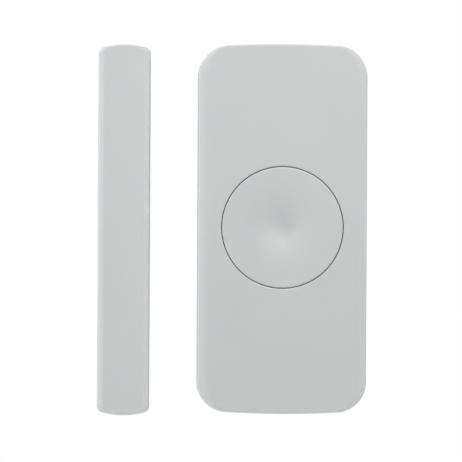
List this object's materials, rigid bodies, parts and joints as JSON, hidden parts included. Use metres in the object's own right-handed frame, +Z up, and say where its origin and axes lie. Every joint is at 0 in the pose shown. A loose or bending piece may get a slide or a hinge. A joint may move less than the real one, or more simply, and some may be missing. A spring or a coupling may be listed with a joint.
{
  "type": "door contact sensor",
  "caption": "Wall-mounted door contact sensor with a round dished button on its front, beside a narrow magnet bar, both on slide-on plates.",
  "frame": {"origin": "middle of the sensor's mounting face, where its adhesive pad meets the wall", "axes": "+X to the right seen from the room, +Y into the wall, +Z up; the front of the sensor faces -Y and the magnet bar stands at -X"},
  "size_m": [0.059, 0.022, 0.0815],
  "materials": {
    "shell_plastic": "fine-textured white moulded plastic",
    "lens_plastic": "satin milky plastic",
    "plate_plastic": "fine-textured white moulded plastic",
    "inner_plastic": "satin white moulded plastic",
    "black_plastic": "matt black moulded plastic",
    "clear_plastic": "clear polished plastic",
    "foam_tape": "closed-cell foam tape",
    "grey_foam": "open-cell grey foam",
    "screw_steel": "zinc-plated steel",
    "spring_steel": "nickel-plated spring steel",
    "tinned_steel": "tinned steel",
    "nickel_can": "nickel-plated steel",
    "magnet_nickel": "nickel-plated sintered magnet",
    "pin_brass": "gold-plated wire",
    "reed_metal": "nickel iron",
    "reed_glass": "green-tinted glass",
    "infrared_window": "dark polished filter",
    "circuit_board": "green solder mask",
    "chip_plastic": "moulded epoxy",
    "led_body": "white body with clear resin",
    "chip_ceramic": "fired ceramic with tinned ends",
    "cell_core": "wound foil and separator",
    "battery_wrap": "shrink sleeve",
    "washer_fibre": "pressed fibre"
  },
  "bodies": {
    "wall_plate": {"sensor_backplate": "plate_plastic", "sensor_adhesive_pad": "foam_tape"},
    "sensor_unit": {"front_housing": "shell_plastic", "rear_chassis": "plate_plastic", "chassis_screws": "screw_steel", "main_pcb": "circuit_board", "pcb_screws": "screw_steel", "rf_shield": "tinned_steel", "radio_chip": "chip_plastic", "microcontroller": "chip_plastic", "crystal": "tinned_steel", "antenna": "tinned_steel", "status_leds": "led_body", "smd_components": "chip_ceramic", "pir_can": "nickel_can", "pir_window": "infrared_window", "pir_header": "tinned_steel", "pir_pins": "pin_brass", "pir_funnel": "black_plastic", "light_pipes": "clear_plastic", "tactile_switches": "black_plastic", "reed_glass": "reed_glass", "reed_fixed_blade": "reed_metal", "reed_upper_lead": "reed_metal", "battery_can": "nickel_can", "battery_core": "cell_core", "battery_sleeve": "battery_wrap", "battery_washer": "washer_fibre", "battery_positive_cap": "nickel_can", "positive_contact": "spring_steel", "negative_spring": "spring_steel"},
    "button": {"button_lens": "lens_plastic", "button_frame": "inner_plastic"},
    "plungers": {"switch_plungers": "black_plastic"},
    "reed_blade": {"reed_moving_blade": "reed_metal"},
    "magnet_plate": {"magnet_backplate": "plate_plastic", "magnet_adhesive_pad": "foam_tape"},
    "magnet_bar": {"magnet_case": "shell_plastic", "magnet_rear_cover": "plate_plastic", "bar_magnet": "magnet_nickel", "magnet_foam": "grey_foam"}
  },
  "joints": [
    {"name": "unit_slide_off", "type": "slide", "parent": "wall_plate", "child": "sensor_unit", "axis": [0, 0, 1], "range_m": [0, 0.008]},
    {"name": "button_press", "type": "slide", "parent": "sensor_unit", "child": "button", "axis": [0, 1, 0], "range_m": [0, 0.0004], "stiffness_N_per_m": 3000, "springref_m": -0.0003},
    {"name": "plunger_press", "type": "slide", "parent": "sensor_unit", "child": "plungers", "axis": [0, 1, 0], "range_m": [0, 0.0004]},
    {"name": "door_opening", "type": "slide", "parent": "wall_plate", "child": "magnet_plate", "axis": [-1, 0, 0], "range_m": [0, 0.06]},
    {"name": "magnet_slide_off", "type": "slide", "parent": "magnet_plate", "child": "magnet_bar", "axis": [0, 0, 1], "range_m": [0, 0.007]},
    {"name": "reed_bend", "type": "hinge", "parent": "sensor_unit", "child": "reed_blade", "pos_m": [-0.0141, -0.0104, 0.006], "axis": [0, -1, 0], "range_deg": [0, 1.75]}
  ],
  "couplings": [
    {"joint": "plunger_press", "follows": "button_press", "ratio": 1},
    {"joint": "reed_bend", "follows": "door_opening", "rad_per_m": 0.5}
  ]
}
